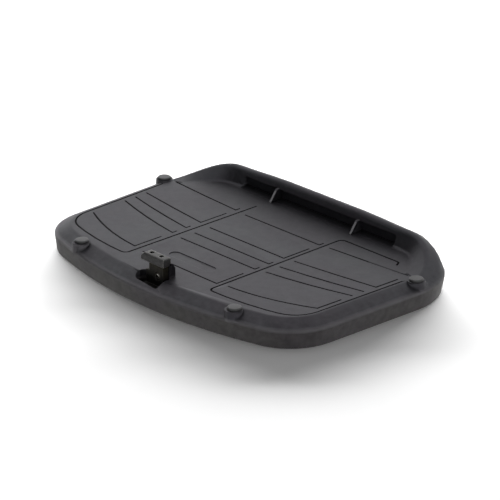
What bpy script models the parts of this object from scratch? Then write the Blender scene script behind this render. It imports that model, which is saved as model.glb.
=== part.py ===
"""Top case mounting plate for a motorbike's rear rack.

One black moulded plate carries the case: a flat deck with engraved panel lines, a band that slopes
down to a short skirt, a raised front rim with a slot for the case's front tabs, four cups with
rubber buffers, and a bolted catch block that the case locks over at the rear.

Metres, +Z up. The plate stands on its skirt at Z = 0, centred on X and Y. +Y is the front, where
the raised rim is, and the catch is at the rear. Heights written as "above the deck" count from the
deck's top face.
"""
import math

import bmesh
import bpy
from mathutils import Vector

# The plate's outline, given at the deck's edge, and its section
overall_depth = 0.278
deck_half_width = 0.1840
side_splay = 0.0477
front_corner_radius = 0.0555
rear_corner_radius = 0.0450
rear_bow_radius = 0.5375
deck_height = 0.0277
slope_width = 0.0176
slope_drop = 0.0085
skirt_tuck = 0.0024
corner_bulge = 0.0024
bulge_start = 0.0120
bulge_run = 0.0600
hem_bulge_share = 0.5
wall = 0.0030
edge_softness = 0.0018
skirt_foot_softness = 0.0010
front_y = overall_depth / 2 - slope_width
rear_y = -front_y

# The raised front rim, its ramps at the front corners and the slot for the case's tabs
rim_height = 0.0228
rim_foot_inset = 0.0090
corner_foot_inset = 0.0160
foot_sweep_length = 0.0450
rim_ramp_length = 0.0800
rim_crown = 0.1000
rim_crown_run = 0.0750
rim_softness = 0.0062
foot_softness = 0.0030
rim_shoulder_out = 0.0120
rim_shoulder_lift = 0.0170
rim_shoulder_fade = 1.3
rim_shoulder_softness = 0.0062
slot_half_length = 0.1165
slot_height = 0.0116
slot_sill = 0.0008
slot_depth = 0.0090
slot_corner_radius = 0.0030
gusset_spacing = 0.1226
gusset_thickness = 0.0030
gusset_reach = 0.0090
rim_core_height = 0.0060

# The four cups and their push-in rubber buffers
front_buffer_y = front_y - 0.0545
rear_buffer_x = 0.1178
front_buffer_outset = 0.0058
rear_buffer_outset = 0.0073
rear_cup_shift = 0.0012
cup_radius = 0.0093
cup_draft = 0.0006
cup_lip = 0.0008
cup_depth = 0.0045
cup_floor = 0.0050
buffer_radius = 0.0075
buffer_height = 0.0027
buffer_edge = 0.0008
buffer_neck_radius = 0.0030
buffer_barb_radius = 0.0040
buffer_barb_length = 0.0040
buffer_relief = 0.0010

# The engraved lines on the deck, each measured forwards of the deck's rear edge
line_width = 0.0012
line_depth = 0.0009
line_mouth_flare = 1.25
line_floor_share = 0.6
panel_split = 0.0645
panel_side_margin = 0.0027
panel_rear_margin = 0.0196
panel_rear_bow_radius = 0.3510
panel_outer_radius = 0.0330
panel_inner_radius = 0.0060
panel_end_to_buffer = 0.0109
left_panel_front_margin = 0.0349
right_panel_front_margin = 0.0330
right_panel_corner_inset = 0.0402
right_panel_hook = 0.0070
centre_line_left = -0.0548
centre_line_right = 0.0588
centre_line_places = (0.1821, 0.1305, 0.1089, 0.0893, 0.0360)
side_line_places = (0.1842, 0.1331, 0.1120, 0.0924, 0.0397)
side_line_rises = (0.0080, 0.0139, 0.0184, 0.0223, 0.0279)
side_line_bows = (0.0005, 0.0005, 0.0014, 0.0022, 0.0054)
side_line_gap = 0.0075
side_line_margin = 0.0093
long_hook = 0.0368
short_hook = 0.0062
centre_hooks = (short_hook, long_hook, short_hook, short_hook, long_hook)
right_hooks = (0.0, 0.0300, 0.0, 0.0, 0.0320)

# The bare recessed bar on the deck in front of the catch
bar_length = 0.0660
bar_width = 0.0130
bar_recess = 0.0006
bar_setback = 0.0559
bar_centre_y = rear_y + bar_setback

# The catch at the rear, its pocket and the tower behind it
catch_left = -0.0183
catch_right = 0.0161
catch_setback = 0.0016
catch_head_depth = 0.0104
catch_head_height = 0.0086
catch_top = 0.0220
catch_chamfer = 0.0045
catch_rear_chamfer = 0.0012
catch_far_chamfer_run = 0.0026
catch_far_chamfer_rise = 0.0030
catch_edge = 0.0007
stem_left = -0.0059
stem_right = 0.0153
stem_depth = 0.0076
shoulder_left = -0.0107
shoulder_top = 0.0050
foot_reach = 0.0064
foot_top = -0.0090
key_hole_size = 0.0048
key_hole_depth = 0.0040
key_hole_xs = (-0.0080, 0.0066)
pocket_left = -0.0210
pocket_right = 0.0183
pocket_rear_room = 0.0032
pocket_slant = 0.0026
pocket_depth = 0.0130
pocket_left_radius = 0.0080
pocket_right_radius = 0.0020
pocket_floor = 0.0030
pocket_wall = 0.0030
tower_right = 0.0168
tower_left = -0.0074
tower_depth = 0.0080
tower_lip = 0.0022
tower_flat = 0.0014
tower_far_height = 0.0097
catch_rear_y = rear_y + catch_setback
foot_rear_y = catch_rear_y - foot_reach
pocket_rear_y = foot_rear_y - pocket_rear_room

# The screw that holds the catch, and its square nut in the tower
screw_x = 0.0064
screw_height = 0.0010
screw_head_radius = 0.0041
screw_head_height = 0.0030
screw_radius = 0.0025
screw_length = 0.0145
screw_socket_radius = 0.0022
screw_socket_depth = 0.0016
nut_size = 0.0080
nut_thickness = 0.0036

# The underside: ribs, and four bosses with threaded inserts that the rack bolts into
rib_pitch = 0.0360
rib_thickness = 0.0020
rib_recess = 0.0020
cross_rib_step = 0.0006
rib_draft = 0.0004
bolt_spacing_x = 0.1440
bolt_spacing_y = 0.0720
boss_radius = 0.0100
insert_radius = 0.0042
insert_length = 0.0125
insert_bore_radius = 0.0025
insert_groove_depth = 0.0004
insert_groove_width = 0.0015

# Clearance between pieces that touch, and how far cutters run past what they cut
gap = 0.0003
overrun = 0.0020

# How finely curves are divided
corner_steps = 11
crown_steps = 3
rear_corner_steps = 8
rear_bow_steps = 5
round_steps = 28
# The bores and what fills them are turned by half a step, so that no cut runs through a corner
half_step = math.pi / round_steps


def smoothstep(t):
    t = min(max(t, 0.0), 1.0)
    return t * t * (3 - 2 * t)


def side_x(y):
    """Half the deck's width at y: the sides splay outwards towards the front."""
    return deck_half_width + side_splay * y


def rear_edge_y(x):
    """The deck's bowed rear edge at x."""
    return rear_y + rear_bow_radius - math.sqrt(rear_bow_radius ** 2 - x * x)


def side_angle():
    return math.atan(side_splay)


def side_and_bow_fillet(half_width, bow_centre_y, bow_radius, radius):
    """Centre of the corner arc that runs from a splayed side into a bowed rear edge."""
    inset = half_width - radius * math.sqrt(1 + side_splay ** 2)
    reach = bow_radius - radius
    a = 1 + side_splay ** 2
    b = inset * side_splay - bow_centre_y
    c = inset ** 2 + bow_centre_y ** 2 - reach ** 2
    y = (-b - math.sqrt(b * b - a * c)) / a
    return inset + side_splay * y, y


def deck_stations():
    """Stations round the right half of the deck's edge, from the front middle to the rear middle.

    Each holds a point, the outward direction there, and the distance run past the start of the
    front corner, less than zero before it, which sets how far the rim has ramped down.
    """
    tilt = side_angle()
    front_cy = front_y - front_corner_radius
    front_cx = side_x(front_cy) - front_corner_radius / math.cos(tilt)
    stations = []
    for i in range(crown_steps):
        ahead = rim_crown_run * (1 - i / crown_steps)
        stations.append((front_cx - ahead, front_y, math.pi / 2, -ahead))
    sweep = math.pi / 2 + tilt
    for i in range(corner_steps + 1):
        turned = sweep * i / corner_steps
        angle = math.pi / 2 - turned
        x = front_cx + front_corner_radius * math.cos(angle)
        y = front_cy + front_corner_radius * math.sin(angle)
        stations.append((x, y, angle, turned * front_corner_radius))
    done = rim_ramp_length + front_corner_radius * sweep
    bow_cy = rear_y + rear_bow_radius
    rear_cx, rear_cy = side_and_bow_fillet(deck_half_width, bow_cy, rear_bow_radius, rear_corner_radius)
    bow_end = math.atan2(rear_cy - bow_cy, rear_cx)
    stations.append((side_x(0.0), 0.0, -tilt, done))
    for i in range(rear_corner_steps + 1):
        angle = -tilt + (bow_end + tilt) * i / rear_corner_steps
        x = rear_cx + rear_corner_radius * math.cos(angle)
        y = rear_cy + rear_corner_radius * math.sin(angle)
        stations.append((x, y, angle, done))
    for i in range(1, rear_bow_steps + 1):
        angle = bow_end + (-math.pi / 2 - bow_end) * i / rear_bow_steps
        x = rear_bow_radius * math.cos(angle)
        y = bow_cy + rear_bow_radius * math.sin(angle)
        stations.append((x, y, angle, done))
    return stations


def whole_loop(stations):
    """The right half's stations, then the same ones mirrored, as one loop round the plate."""
    left = [(-x, y, math.pi - angle, run) for x, y, angle, run in reversed(stations)]
    return stations + left[1:]


def rim_at(run):
    """Height of the rim and inset of its inner foot at a distance past the corner's start.

    The rim's top is crowned: it falls a little towards the corners, then ramps down round them.
    """
    crown = 1 - rim_crown * smoothstep(1 + run / rim_crown_run)
    ramp = 0.5 + 0.5 * math.cos(math.pi * min(max(run / rim_ramp_length, 0.0), 1.0))
    height = rim_height * crown * ramp
    inset = rim_foot_inset + (corner_foot_inset - rim_foot_inset) * smoothstep(run / foot_sweep_length)
    return height, inset


def bulge_at(run):
    """How far the slope stands further out round a front corner, at a distance past its start."""
    share = min(max((run - bulge_start) / bulge_run, 0.0), 1.0)
    return corner_bulge * math.sin(math.pi * share) ** 2


def soft_corner(before, corner, after, softness, steps):
    """Points that round a corner off between its two neighbours, as a quadratic curve."""
    corner = Vector(corner)
    start = corner + (Vector(before) - corner).normalized() * softness
    end = corner + (Vector(after) - corner).normalized() * softness
    points = []
    for i in range(steps + 1):
        t = i / steps
        points.append(start * (1 - t) ** 2 + corner * 2 * t * (1 - t) + end * t ** 2)
    return points


def outer_section(run):
    """Offset outwards and height above the deck, from the deck over the rim down to the foot."""
    height, inset = rim_at(run)
    bulge = bulge_at(run)
    share = height / rim_height
    deck = (-inset - 2 * foot_softness, 0.0)
    foot = (-inset, 0.0)
    crest = (0.0, height)
    fall = (height + slope_drop) * rim_shoulder_out / slope_width
    shoulder = (rim_shoulder_out + bulge, height - fall + rim_shoulder_lift * share ** rim_shoulder_fade)
    crease = (slope_width + bulge, -slope_drop)
    hem_out = slope_width - skirt_tuck + bulge * hem_bulge_share
    hem = (hem_out, -deck_height)
    inside = (hem_out - wall, -deck_height)
    crest_softness = edge_softness + (rim_softness - edge_softness) * share
    shoulder_softness = edge_softness + (rim_shoulder_softness - edge_softness) * share
    points = soft_corner(deck, foot, crest, foot_softness, 3)
    points += soft_corner(foot, crest, shoulder, crest_softness, 4)
    points += soft_corner(crest, shoulder, crease, shoulder_softness, 3)
    points += soft_corner(shoulder, crease, hem, edge_softness, 3)
    points += soft_corner(crease, hem, inside, skirt_foot_softness, 2)
    return points


def cavity_section(run):
    """The same for the hollow underneath, one wall inside the outer faces."""
    height, inset = rim_at(run)
    core = rim_core_height * height / rim_height
    slope = slope_drop / slope_width
    bulge = bulge_at(run)
    hem_out = slope_width - skirt_tuck - wall + bulge * hem_bulge_share
    back = wall * 0.5
    return [
        Vector((-wall, -wall)),
        Vector((back, -wall - slope * back + core * 0.6)),
        Vector((back + wall, -wall - slope * (back + wall) + core)),
        Vector((slope_width - wall + bulge, -slope_drop - wall)),
        Vector((hem_out, -deck_height)),
        Vector((hem_out, -deck_height - overrun)),
    ]


def loft(name, section):
    """A closed solid skinned through one section at each station, with flat caps."""
    bm = bmesh.new()
    rings = []
    for x, y, angle, run in whole_loop(deck_stations()):
        out = Vector((math.cos(angle), math.sin(angle)))
        ring = []
        for offset, height in section(run):
            ring.append(bm.verts.new((x + out.x * offset, y + out.y * offset, deck_height + height)))
        rings.append(ring)
    count = len(rings)
    for i in range(count):
        here, there = rings[i], rings[(i + 1) % count]
        for j in range(len(here) - 1):
            bm.faces.new((here[j], here[j + 1], there[j + 1], there[j]))
    bm.faces.new([ring[0] for ring in rings])
    bm.faces.new([ring[-1] for ring in rings])
    return finish(name, bm)


def finish(name, bm, material=None):
    """Turn a bmesh into an object of its own, with its faces pointing outwards."""
    bmesh.ops.recalc_face_normals(bm, faces=bm.faces[:])
    mesh = bpy.data.meshes.new(name)
    bm.to_mesh(mesh)
    bm.free()
    piece = bpy.data.objects.new(name, mesh)
    bpy.context.scene.collection.objects.link(piece)
    if material:
        mesh.materials.append(material)
    return piece


def prism_mesh(bm, outline, direction, draft=1.0):
    """Add a closed prism: a flat outline of 3-D points, extruded along a direction."""
    low = [bm.verts.new(point) for point in outline]
    middle = sum((Vector(point) for point in outline), Vector()) / len(outline)
    shift = Vector(direction)
    high = [bm.verts.new(middle + (Vector(point) - middle) * draft + shift) for point in outline]
    bm.faces.new(low)
    bm.faces.new(high)
    for i in range(len(low)):
        j = (i + 1) % len(low)
        bm.faces.new((low[i], low[j], high[j], high[i]))


def prism(name, outline, direction, draft=1.0):
    bm = bmesh.new()
    prism_mesh(bm, outline, direction, draft)
    return finish(name, bm)


def box(name, low, high):
    outline = [(low[0], low[1], low[2]), (high[0], low[1], low[2]),
               (high[0], high[1], low[2]), (low[0], high[1], low[2])]
    return prism(name, outline, (0, 0, high[2] - low[2]))


def turned(name, profile, centre, axis="Z", steps=round_steps, material=None, turn=0.0):
    """A solid of revolution from (radius, along) points that start and end on its axis."""
    bm = bmesh.new()
    verts = [bm.verts.new((radius, 0, along)) for radius, along in profile]
    edges = [bm.edges.new(pair) for pair in zip(verts, verts[1:])]
    bmesh.ops.spin(bm, geom=verts + edges, axis=(0, 0, 1), cent=(0, 0, 0),
                   angle=2 * math.pi, steps=steps, use_merge=True)
    bmesh.ops.remove_doubles(bm, verts=bm.verts[:], dist=1e-6)
    piece = finish(name, bm, material)
    piece.location = centre
    piece.rotation_euler = (-math.pi / 2, 0, 0) if axis == "Y" else (0, 0, turn)
    return piece


def cut(target, cutter, operation="DIFFERENCE"):
    """Apply one exact Boolean to the target and throw the cutter away."""
    bpy.context.view_layer.update()
    boolean = target.modifiers.new("cut", "BOOLEAN")
    boolean.operation = operation
    boolean.solver = "EXACT"
    boolean.object = cutter
    graph = bpy.context.evaluated_depsgraph_get()
    mesh = bpy.data.meshes.new_from_object(target.evaluated_get(graph))
    target.modifiers.clear()
    target.data = mesh
    bpy.data.objects.remove(cutter)


def fillet_path(points, radii, steps=6):
    """A polyline whose corners are rounded: one radius for each inner point, 0 for a sharp one."""
    path = [Vector(points[0])]
    for before, corner, after, radius in zip(points, points[1:], points[2:], radii):
        corner = Vector(corner)
        if radius == 0:
            path.append(corner)
            continue
        back = (Vector(before) - corner).normalized()
        ahead = (Vector(after) - corner).normalized()
        half = back.angle(ahead) / 2
        centre = corner + (back + ahead).normalized() * radius / math.sin(half)
        start = corner + back * radius / math.tan(half) - centre
        end = corner + ahead * radius / math.tan(half) - centre
        sweep = start.angle(end)
        for i in range(steps + 1):
            t = i / steps
            arm = (start * math.sin(sweep * (1 - t)) + end * math.sin(sweep * t)) / math.sin(sweep)
            path.append(centre + arm)
    path.append(Vector(points[-1]))
    return path


def engraved(name, path):
    """A cutter for one engraved line: a band with tapered sides along a path on the deck."""
    bm = bmesh.new()
    top, floor = overrun / 4, -line_depth
    mouth, base = line_mouth_flare, line_floor_share
    rings = []
    for i, point in enumerate(path):
        back = (point - path[i - 1]).normalized() if i else None
        ahead = (path[i + 1] - point).normalized() if i + 1 < len(path) else None
        along = ((back or ahead) + (ahead or back)).normalized()
        across = Vector((-along.y, along.x))
        stretch = 1 / max(across.dot(Vector((-(ahead or back).y, (ahead or back).x))), 0.5)
        half = line_width / 2 * stretch
        ring = []
        for side, height in ((-mouth, top), (mouth, top), (base, floor), (-base, floor)):
            place = point + across * half * side
            ring.append(bm.verts.new((place.x, place.y, deck_height + height)))
        rings.append(ring)
    for here, there in zip(rings, rings[1:]):
        for j in range(4):
            k = (j + 1) % 4
            bm.faces.new((here[j], here[k], there[k], there[j]))
    bm.faces.new(rings[0])
    bm.faces.new(list(reversed(rings[-1])))
    return finish(name, bm)


def panel_side_x(y):
    return side_x(y) - panel_side_margin


def panel_rear_run(x):
    """A side panel's rear run at x: it leaves the split square on and bows forwards outboard."""
    return rear_y + panel_rear_margin + (x - panel_split) ** 2 / (2 * panel_rear_bow_radius)


def panel_outline(side):
    """The engraved outline of one side panel, left (-1) or right (1)."""
    corner_x = panel_side_x(0.0)
    for _ in range(8):
        corner_x = panel_side_x(panel_rear_run(corner_x))
    # The outer corner's arc replaces the run's last stretch, so the run's own points stop short
    reach = panel_outer_radius * 1.1
    steps = 3
    rear_xs = [panel_split + (corner_x - reach - panel_split) * i / steps for i in range(steps + 1)]
    rear = [(x, panel_rear_run(x)) for x in rear_xs + [corner_x]]
    if side < 0:
        front = [(panel_split, front_y - left_panel_front_margin)]
        front_radii = []
    else:
        front_edge = front_y - right_panel_front_margin
        hook_x = side_x(front_edge) - right_panel_corner_inset
        front = [(hook_x + right_panel_hook / 2, front_edge - right_panel_hook), (hook_x, front_edge),
                 (panel_split, front_edge)]
        front_radii = [right_panel_hook / 2, panel_inner_radius]
    end_y = front_buffer_y - panel_end_to_buffer
    points = front + rear + [(panel_side_x(end_y), end_y)]
    radii = front_radii + [panel_inner_radius] + [0] * steps + [panel_outer_radius]
    return fillet_path([(side * x, y) for x, y in points], radii)


def hooked(path, hook):
    """Turn a line's last point forwards, along the deck's side, by the hook's length."""
    if hook:
        lean = side_splay if path[-1].x > panel_side_x(0) / 2 else 0.0
        path.append(path[-1] + Vector((lean, 1.0)) * hook)
    return path


def centre_line(y, hook):
    return hooked([Vector((centre_line_left, y)), Vector((centre_line_right, y))], hook)


def side_line(side, y, rise, bow, hook):
    """One line of a side panel, rising and bowing forwards outboard, hooked at its +X end."""
    inner = panel_split + side_line_gap
    steps = 2 + round(bow / line_width)
    path = []
    for i in range(steps + 1):
        t = i / steps
        height = y + rise * t - 4 * bow * t * (1 - t)
        outer = side_x(y + rise) - side_line_margin
        path.append(Vector((side * (inner + (outer - inner) * t), height)))
    if side < 0:
        path.reverse()
    return hooked(path, hook)


def deck_lines():
    lines = [panel_outline(-1), panel_outline(1)]
    for place, hook in zip(centre_line_places, centre_hooks):
        lines.append(centre_line(rear_y + place, hook))
    sides = zip(side_line_places, side_line_rises, side_line_bows, centre_hooks, right_hooks)
    for place, rise, bow, left_hook, right_hook in sides:
        lines.append(side_line(-1, rear_y + place, rise, bow, left_hook))
        lines.append(side_line(1, rear_y + place, rise, bow, right_hook))
    return lines


def rounded_rectangle(left, right, low, high, radii, steps=5):
    """Corner arcs in order: low left, low right, high right, high left."""
    corners = ((left, low, 1, 1, math.pi), (right, low, -1, 1, -math.pi / 2),
               (right, high, -1, -1, 0.0), (left, high, 1, -1, math.pi / 2))
    points = []
    for (x, y, inward_x, inward_y, start), radius in zip(corners, radii):
        cx, cy = x + inward_x * radius, y + inward_y * radius
        for i in range(steps + 1):
            angle = start + math.pi / 2 * i / steps
            points.append((cx + radius * math.cos(angle), cy + radius * math.sin(angle)))
    return points


def buffer_places():
    """Centres of the four cups: two at the sides in front, two at the rear edge."""
    front_x = side_x(front_buffer_y) + front_buffer_outset
    rear = rear_edge_y(rear_buffer_x) - rear_buffer_outset
    return (("front_left", -front_x, front_buffer_y), ("front_right", front_x, front_buffer_y),
            ("rear_left", -rear_buffer_x, rear), ("rear_right", rear_buffer_x, rear))


def cup_places():
    """Centres of the cups' outsides: the rear cups are thicker towards the rear edge."""
    return [(x, y - rear_cup_shift if y < 0 else y) for _, x, y in buffer_places()]


def bolt_places():
    return [(sx * bolt_spacing_x / 2, sy * bolt_spacing_y / 2) for sy in (-1, 1) for sx in (-1, 1)]


def cup_floor_height():
    """Height of a cup's floor above the deck."""
    return cup_lip - cup_depth


def ribs(along_x):
    """The ribs that run one way across the underside, drafted so that they thicken upwards."""
    bm = bmesh.new()
    reach = side_x(front_y) + slope_width + overrun
    low, high = rib_recess + (0.0 if along_x else cross_rib_step), deck_height + rim_height
    thin, thick = rib_thickness / 2, rib_thickness / 2 + rib_draft
    count = int(reach / rib_pitch)
    for i in range(-count, count + 1):
        middle = i * rib_pitch
        section = ((middle - thin, low), (middle + thin, low),
                   (middle + thick, high), (middle - thick, high))
        if along_x:
            prism_mesh(bm, [(-reach, y, z) for y, z in section], (2 * reach, 0, 0))
        else:
            prism_mesh(bm, [(x, -reach, z) for x, z in section], (0, 2 * reach, 0))
    return finish("ribs", bm)


def keep_material(hollow):
    """Leave material in the hollow where bosses, cup floors and the catch pocket need it."""
    top = deck_height + rim_height
    for x, y in bolt_places():
        outline = round_outline(x, y, boss_radius, -overrun)
        cut(hollow, prism("boss keep", outline, (0, 0, top)))
    for x, y in cup_places():
        floor = deck_height + cup_floor_height() - cup_floor
        outline = round_outline(x, y, cup_radius + cup_draft, floor)
        cut(hollow, prism("cup keep", outline, (0, 0, top)))
    low_corner = (pocket_left - pocket_wall, pocket_rear_y - pocket_slant - pocket_wall,
                  deck_height - pocket_depth - pocket_floor)
    high_corner = (pocket_right + pocket_wall, catch_rear_y + stem_depth + pocket_wall + tower_depth, top)
    cut(hollow, box("pocket keep", low_corner, high_corner))


def round_outline(x, y, radius, z, steps=round_steps):
    return [(x + radius * math.cos(2 * math.pi * i / steps),
             y + radius * math.sin(2 * math.pi * i / steps), z) for i in range(steps)]


def hollow_underside(plate):
    """Cut the hollow, which leaves the ribs standing clear of the ground and the bosses on it."""
    hollow = loft("hollow", cavity_section)
    cut(hollow, ribs(True))
    cut(hollow, ribs(False))
    keep_material(hollow)
    cut(plate, hollow)


def rim_slot(plate):
    """The slot along the rim's inner wall and the two gussets that divide it."""
    low = deck_height + slot_sill
    foot_y = front_y - rim_foot_inset
    outline = rounded_rectangle(-slot_half_length, slot_half_length, low, low + slot_height,
                                [slot_corner_radius] * 4, 3)
    start = foot_y - 2 * overrun
    cutter = prism("slot", [(x, start, z) for x, z in outline], (0, slot_depth + 2 * overrun, 0))
    cut(plate, cutter)
    back_y = foot_y + slot_depth + overrun
    top = low + slot_height + overrun / 2
    for side in (-1, 1):
        x = side * gusset_spacing / 2 - gusset_thickness / 2
        outline = [(x, foot_y - gusset_reach, deck_height - wall / 2), (x, back_y, deck_height - wall / 2),
                   (x, back_y, top), (x, foot_y + overrun / 2, top),
                   (x, foot_y - gusset_reach, deck_height)]
        cut(plate, prism("gusset", outline, (gusset_thickness, 0, 0)), "UNION")


def buffer_cups(plate):
    """Cups that grow out of the sloping band, bored for the buffers' heads and necks."""
    for x, y in cup_places():
        low = -slope_drop - wall / 2
        profile = [(0, low), (cup_radius + cup_draft, low), (cup_radius, cup_lip), (0, cup_lip)]
        cut(plate, turned("cup", profile, (x, y, deck_height)), "UNION")
    for _, x, y in buffer_places():
        floor = cup_floor_height()
        bore = buffer_radius + gap
        neck = buffer_neck_radius + gap
        relief = buffer_barb_radius + buffer_relief
        under = floor - cup_floor + gap
        low = under - buffer_barb_length - overrun
        profile = [(0, low), (relief, low), (relief, under), (neck, under), (neck, floor), (bore, floor),
                   (bore, cup_lip + overrun), (0, cup_lip + overrun)]
        cut(plate, turned("cup bore", profile, (x, y, deck_height), turn=half_step))


def tower_heights():
    """Height above the deck of the tower's seat under the catch's head, and of its lip."""
    seat = catch_top - catch_head_height - gap
    return seat, seat + tower_lip


def catch_tower(plate):
    """The tower that backs the catch's stem: a seat, a lip and a face sloping to the front."""
    face_y = catch_rear_y + stem_depth + gap
    seat, lip = tower_heights()
    seat_y = catch_rear_y + catch_head_depth + gap
    far_y = face_y + tower_depth
    low = -wall / 2
    outline = [(face_y - overrun, low), (face_y - overrun, seat), (seat_y, seat), (seat_y, lip),
               (seat_y + tower_flat, lip), (far_y, tower_far_height), (far_y, low)]
    solid = prism("tower", [(tower_left, y, deck_height + z) for y, z in outline],
                  (tower_right - tower_left, 0, 0))
    cut(plate, solid, "UNION")


def slanted_y(x, y, face_y):
    """A pocket point's Y, moved so that the rear wall runs rearwards from left to right."""
    across = (x - pocket_left) / (pocket_right - pocket_left)
    back = (face_y - y) / (face_y - pocket_rear_y)
    return y - pocket_slant * across * back


def catch_pocket(plate):
    """The pocket that the catch's foot stands in, and the tower's nut slot and screw bore."""
    face_y = catch_rear_y + stem_depth + gap
    radii = [pocket_left_radius, pocket_right_radius, pocket_right_radius, pocket_left_radius]
    outline = rounded_rectangle(pocket_left, pocket_right, pocket_rear_y, face_y, radii)
    floor = deck_height - pocket_depth
    slanted = [(x, slanted_y(x, y, face_y), floor) for x, y in outline]
    cutter = prism("pocket", slanted, (0, 0, pocket_depth + catch_top))
    cut(plate, cutter)
    nut_y = nut_rear_y() - gap
    half = nut_size / 2 + gap
    low = (screw_x - half, nut_y, deck_height + screw_height - half)
    high = (screw_x + half, nut_y + nut_thickness + 2 * gap, deck_height + catch_top)
    cut(plate, box("nut slot", low, high))
    bore = screw_radius + gap
    start, end = face_y - overrun, catch_rear_y + screw_length + gap
    profile = [(0, start), (bore, start), (bore, end), (0, end)]
    cut(plate, turned("screw bore", profile, (screw_x, 0, deck_height + screw_height), "Y", 20))


def nut_rear_y():
    """The rear face of the nut, one thin wall in front of the stem."""
    return catch_rear_y + stem_depth + gap + wall / 2 + gap


def panel_lines(plate):
    for path in deck_lines():
        cut(plate, engraved("line", path))


def bare_bar(plate):
    half = bar_length / 2
    outline = rounded_rectangle(-half, half, bar_centre_y - bar_width / 2, bar_centre_y + bar_width / 2,
                                [bar_width / 2 - gap] * 4)
    floor = deck_height - bar_recess
    cut(plate, prism("bar", [(x, y, floor) for x, y in outline], (0, 0, bar_recess + overrun)))


def insert_holes(plate):
    depth = insert_length + 2 * gap
    for x, y in bolt_places():
        outline = round_outline(x, y, insert_radius + gap, -overrun)
        cut(plate, prism("insert hole", outline, (0, 0, depth + overrun)))


def base_plate(material):
    plate = loft("base_plate", outer_section)
    hollow_underside(plate)
    rim_slot(plate)
    buffer_cups(plate)
    catch_tower(plate)
    catch_pocket(plate)
    bare_bar(plate)
    panel_lines(plate)
    insert_holes(plate)
    plate.data.materials.clear()
    plate.data.materials.append(material)
    shade(plate)
    return plate


def shade(piece, degrees=30):
    piece.data.shade_smooth()
    piece.data.set_sharp_from_angle(angle=math.radians(degrees))


def rubber_buffer(name, x, y, material):
    """A push-in buffer: a thick round head in the cup, a neck, and a barb under the floor."""
    floor = cup_floor_height() + gap
    under = cup_floor_height() - cup_floor
    tip = under - buffer_barb_length
    top = cup_lip + buffer_height
    profile = [(0, tip), (buffer_neck_radius - gap, tip), (buffer_barb_radius, under - gap),
               (buffer_barb_radius, under), (buffer_neck_radius, under), (buffer_neck_radius, floor),
               (buffer_radius, floor), (buffer_radius, top - buffer_edge),
               (buffer_radius - buffer_edge * 0.3, top - buffer_edge * 0.3),
               (buffer_radius - buffer_edge, top), (0, top)]
    piece = turned(name, profile, (x, y, deck_height), material=material, turn=half_step)
    shade(piece)
    return piece


def chamfer_head(head, y, z, leg_y, leg_z):
    """Chamfer the head's long edge through (y, z); the two legs point from it into the head."""
    outline = [(catch_left - overrun, y - leg_y, deck_height + z - leg_z),
               (catch_left - overrun, y + 2 * leg_y, deck_height + z - leg_z),
               (catch_left - overrun, y - leg_y, deck_height + z + 2 * leg_z)]
    cut(head, prism("chamfer", outline, (catch_right - catch_left + 2 * overrun, 0, 0)))


def catch_block(material):
    """The catch: a chamfered head on an upright stem, with a foot that stands in the pocket."""
    top = catch_top
    low = top - catch_head_height
    chamfer = catch_chamfer
    head = [(catch_left, low + chamfer * 0.1), (catch_left, top - chamfer), (catch_left + chamfer, top),
            (catch_right - chamfer * 0.2, top), (catch_right, top - chamfer * 0.2), (catch_right, low),
            (catch_left + chamfer * 0.1, low)]
    piece = prism("catch", [(x, catch_rear_y, deck_height + z) for x, z in head],
                  (0, catch_head_depth, 0))
    chamfer_head(piece, catch_rear_y, top, catch_rear_chamfer, -catch_rear_chamfer)
    chamfer_head(piece, catch_rear_y + catch_head_depth, low, -catch_far_chamfer_run, catch_far_chamfer_rise)
    foot = gap - pocket_depth
    stem = [(shoulder_left, foot), (shoulder_left, shoulder_top), (stem_left, shoulder_top),
            (stem_left, low + overrun / 2), (stem_right, low + overrun / 2), (stem_right, foot)]
    solid = prism("stem", [(x, catch_rear_y + gap, deck_height + z) for x, z in stem],
                  (0, stem_depth - gap, 0))
    cut(piece, solid, "UNION")
    solid = box("foot", (shoulder_left, foot_rear_y, deck_height + foot),
                (stem_right, catch_rear_y + stem_depth / 2, deck_height + foot_top))
    cut(piece, solid, "UNION")
    half = key_hole_size / 2
    middle = catch_rear_y + catch_head_depth * 0.6
    for x in key_hole_xs:
        solid = box("key hole", (x - half, middle - half, deck_height + top - key_hole_depth),
                    (x + half, middle + half, deck_height + top + overrun))
        cut(piece, solid)
    seat = catch_rear_y + screw_head_height + 2 * gap
    through = catch_rear_y + stem_depth + overrun
    wide, narrow = screw_head_radius + gap, screw_radius + gap
    start = catch_rear_y - overrun
    profile = [(0, start), (wide, start), (wide, seat), (narrow, seat), (narrow, through), (0, through)]
    cut(piece, turned("counterbore", profile, (screw_x, 0, deck_height + screw_height), "Y", 24))
    piece.data.materials.clear()
    piece.data.materials.append(material)
    bevel = piece.modifiers.new("soft edges", "BEVEL")
    bevel.width = catch_edge
    bevel.segments = 2
    bevel.limit_method = "ANGLE"
    bevel.angle_limit = math.radians(50)
    shade(piece)
    return piece


def catch_screw(material):
    """The screw through the catch's stem, with a round head and a socket for the key."""
    seat = catch_rear_y + screw_head_height + gap
    top = seat - screw_head_height
    floor = top + screw_socket_depth
    edge = screw_head_radius * 0.1
    profile = [(0, floor), (screw_socket_radius, floor), (screw_socket_radius, top),
               (screw_head_radius - edge, top), (screw_head_radius, top + edge), (screw_head_radius, seat),
               (screw_radius, seat), (screw_radius, catch_rear_y + screw_length),
               (0, catch_rear_y + screw_length)]
    piece = turned("catch_screw", profile, (screw_x, 0, deck_height + screw_height), "Y", 24, material)
    shade(piece)
    return piece


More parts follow.
